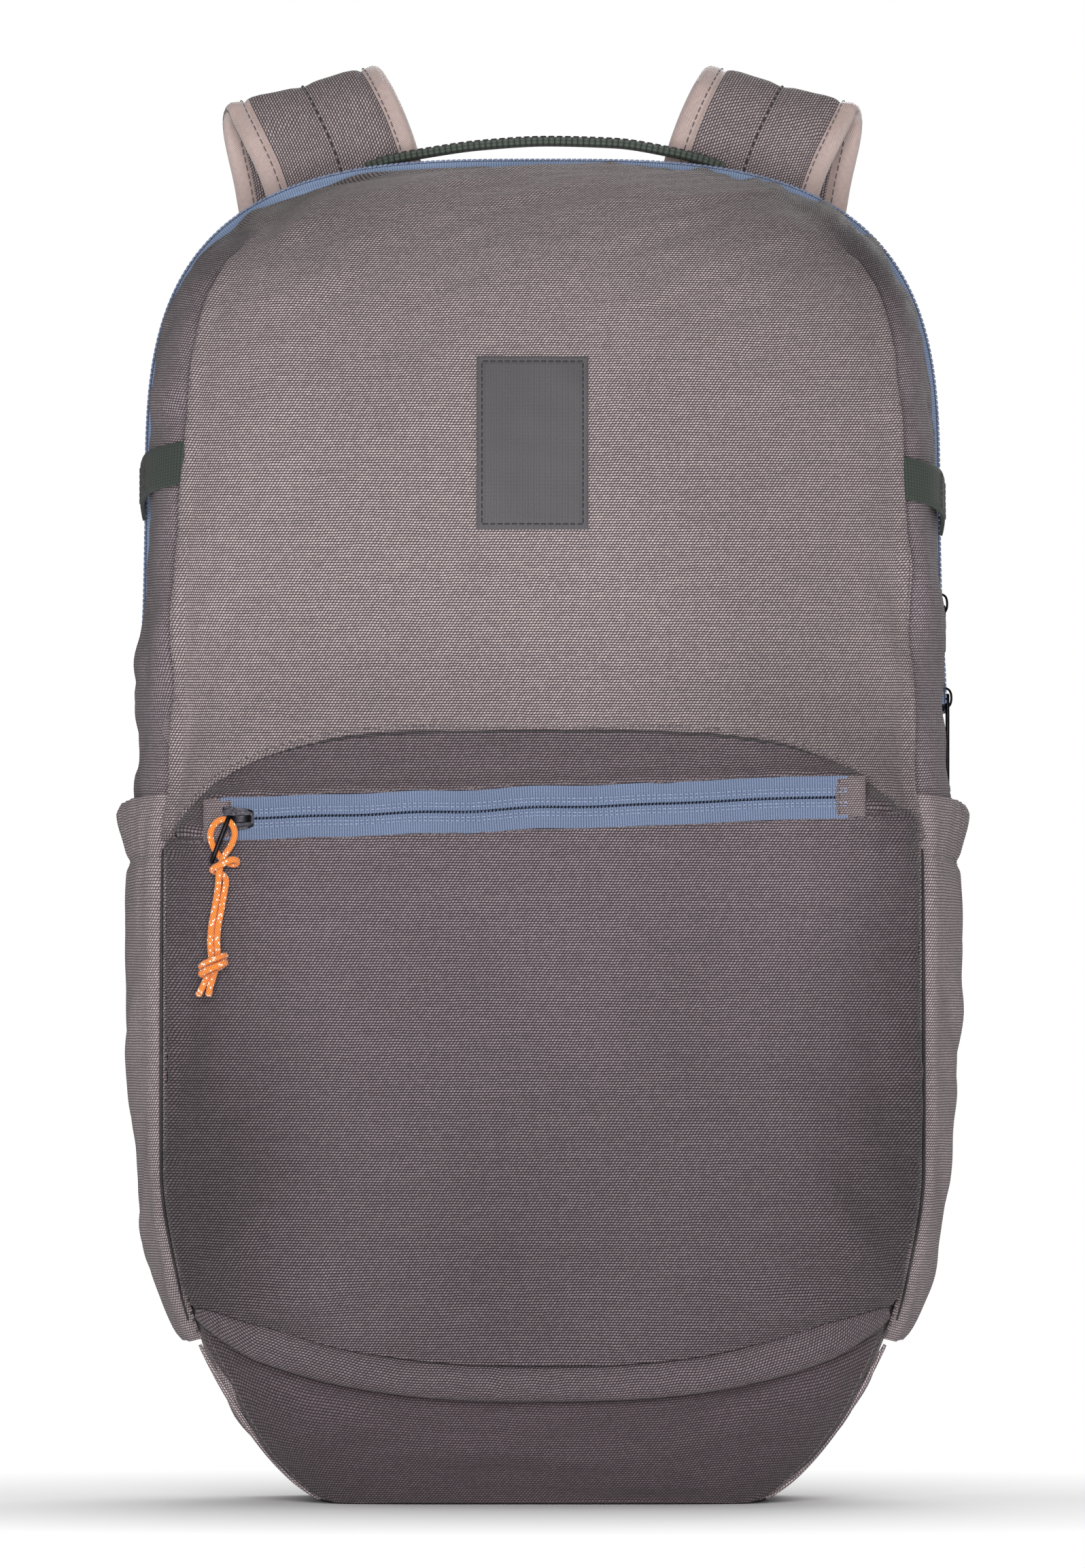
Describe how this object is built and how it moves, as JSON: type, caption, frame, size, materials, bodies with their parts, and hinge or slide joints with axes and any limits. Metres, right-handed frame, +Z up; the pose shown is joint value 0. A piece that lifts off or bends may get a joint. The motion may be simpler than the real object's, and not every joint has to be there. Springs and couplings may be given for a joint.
{
  "type": "daypack",
  "caption": "Upright clamshell hiking daypack with a zipped front pocket, stretch side pockets, haul handle and padded shoulder straps.",
  "frame": {"origin": "on the floor plane at the middle of the flat base", "axes": "+Z up along the back, -Y out of the front pocket, +X to the right of someone who looks at the front"},
  "size_m": [0.3046, 0.2394, 0.521],
  "materials": {
    "weave_grey": "coarse light grey basket weave, matt",
    "weave_dark": "coarse mauve-grey basket weave, matt",
    "lining": "plain woven lining",
    "mesh_cloth": "black spacer mesh over foam",
    "zip_tape": "slate blue reversed coil zip tape",
    "tab_grey": "charcoal grosgrain",
    "patch_grey": "charcoal woven label",
    "webbing": "dark green woven webbing",
    "strap_fabric": "basket weave with satin binding",
    "black_plastic": "black acetal, fine texture",
    "gunmetal": "dark gunmetal plating, satin",
    "orange_cord": "braided orange cord with white flecks",
    "sheet_plastic": "smooth polyethylene sheet"
  },
  "bodies": {
    "root": {"front_fold": "weave_grey", "front_pocket": "weave_dark", "pocket_top_panel": "weave_dark", "pocket_bottom_roll": "weave_dark", "base_panel": "weave_dark", "side_panel_left": "weave_dark", "side_panel_right": "weave_dark", "side_pocket_left": "weave_dark", "side_pocket_right": "weave_dark", "side_pocket_hem_left": "weave_dark", "side_pocket_hem_right": "weave_dark", "rear_gusset": "weave_dark", "back_panel": "weave_dark", "strap_yoke": "weave_dark", "pocket_inner_wall": "lining", "laptop_sleeve": "lining", "frame_sheet": "sheet_plastic", "back_pad_left": "mesh_cloth", "back_pad_right": "mesh_cloth", "lumbar_pad": "mesh_cloth", "main_zip_rear_tape": "zip_tape", "front_zip_lower_tape": "zip_tape", "front_zip_upper_tape": "zip_tape", "front_zip_tab_left": "tab_grey", "front_zip_tab_right": "tab_grey", "adjuster_webbing_left": "webbing", "adjuster_webbing_right": "webbing", "bottom_tab_left": "webbing", "bottom_tab_right": "webbing", "strap_sewn_end_left": "strap_fabric", "strap_sewn_end_right": "strap_fabric"},
    "flap": {"front_panel": "weave_grey", "side_gusset_left": "weave_grey", "side_gusset_right": "weave_grey", "main_zip_front_tape": "zip_tape", "patch": "patch_grey", "lash_webbing_left": "webbing", "lash_webbing_right": "webbing"},
    "front_slider": {"front_slider": "gunmetal"},
    "front_pull": {"front_pull_loop": "gunmetal"},
    "pull_cord": {"pull_cord": "orange_cord", "cord_knot": "orange_cord"},
    "main_slider_lower": {"main_slider_lower": "gunmetal"},
    "main_pull_lower": {"main_pull_lower": "gunmetal"},
    "main_slider_upper": {"main_slider_upper": "gunmetal"},
    "main_pull_upper": {"main_pull_upper": "gunmetal"},
    "haul_handle": {"haul_handle": "webbing"},
    "strap_left": {"shoulder_strap_left": "strap_fabric", "strap_tab_left": "webbing"},
    "strap_right": {"shoulder_strap_right": "strap_fabric", "strap_tab_right": "webbing"},
    "ladder_lock_left": {"ladder_lock_left": "black_plastic"},
    "ladder_lock_right": {"ladder_lock_right": "black_plastic"},
    "sternum_strap": {"sternum_webbing_left": "webbing", "sternum_webbing_right": "webbing", "sternum_anchor_left": "black_plastic", "sternum_anchor_right": "black_plastic", "buckle_male": "black_plastic", "buckle_female": "black_plastic"}
  },
  "joints": [
    {"name": "flap_fold", "type": "hinge", "parent": "root", "child": "flap", "pos_m": [0, 0.035, 0.283], "axis": [1, 0, 0], "range_deg": [0, 26], "deforming": ["front_fold"]},
    {"name": "front_zip_slide", "type": "slide", "parent": "root", "child": "front_slider", "axis": [0.9993, 0, 0.0366], "range_m": [0, 0.2]},
    {"name": "front_pull_swing", "type": "hinge", "parent": "front_slider", "child": "front_pull", "pos_m": [-0.112, -0.0965, 0.24618], "axis": [1, 0, 0], "range_deg": [-110, 0]},
    {"name": "pull_cord_swing", "type": "hinge", "parent": "front_pull", "child": "pull_cord", "pos_m": [-0.11812, -0.0965, 0.23037], "axis": [1, 0, 0], "range_deg": [-40, 0]},
    {"name": "main_zip_lower_slide", "type": "slide", "parent": "root", "child": "main_slider_lower", "axis": [-0.02, 0, 0.9998], "range_m": [0, 0.008]},
    {"name": "main_pull_lower_swing", "type": "hinge", "parent": "main_slider_lower", "child": "main_pull_lower", "pos_m": [0.14812, 0.035, 0.29025], "axis": [0, 1, 0], "range_deg": [-110, 0]},
    {"name": "main_zip_upper_slide", "type": "slide", "parent": "root", "child": "main_slider_upper", "axis": [-0.02, 0, 0.9998], "range_m": [0, 0.08]},
    {"name": "main_pull_upper_swing", "type": "hinge", "parent": "main_slider_upper", "child": "main_pull_upper", "pos_m": [0.14675, 0.035, 0.32225], "axis": [0, 1, 0], "range_deg": [-110, 0]},
    {"name": "haul_handle_swing", "type": "hinge", "parent": "root", "child": "haul_handle", "pos_m": [0, 0.075, 0.483], "axis": [1, 0, 0], "range_deg": [-20, 20]},
    {"name": "strap_left_swing", "type": "hinge", "parent": "root", "child": "strap_left", "pos_m": [0, 0.108, 0.522], "axis": [1, 0, 0], "range_deg": [0, 25], "deforming": ["adjuster_webbing_left"]},
    {"name": "strap_right_swing", "type": "hinge", "parent": "root", "child": "strap_right", "pos_m": [0, 0.108, 0.522], "axis": [1, 0, 0], "range_deg": [0, 25], "deforming": ["adjuster_webbing_right"]},
    {"name": "ladder_lock_left_tilt", "type": "hinge", "parent": "strap_left", "child": "ladder_lock_left", "pos_m": [-0.1025, 0.119, 0.163], "axis": [1, 0, 0], "range_deg": [-15, 25]},
    {"name": "ladder_lock_right_tilt", "type": "hinge", "parent": "strap_right", "child": "ladder_lock_right", "pos_m": [0.1025, 0.119, 0.163], "axis": [1, 0, 0], "range_deg": [-15, 25]},
    {"name": "sternum_strap_slide", "type": "slide", "parent": "strap_left", "child": "sternum_strap", "axis": [0, 0, 1], "range_m": [-0.03, 0.04]}
  ],
  "couplings": [
    {"joint": "strap_right_swing", "follows": "strap_left_swing", "ratio": 1}
  ]
}
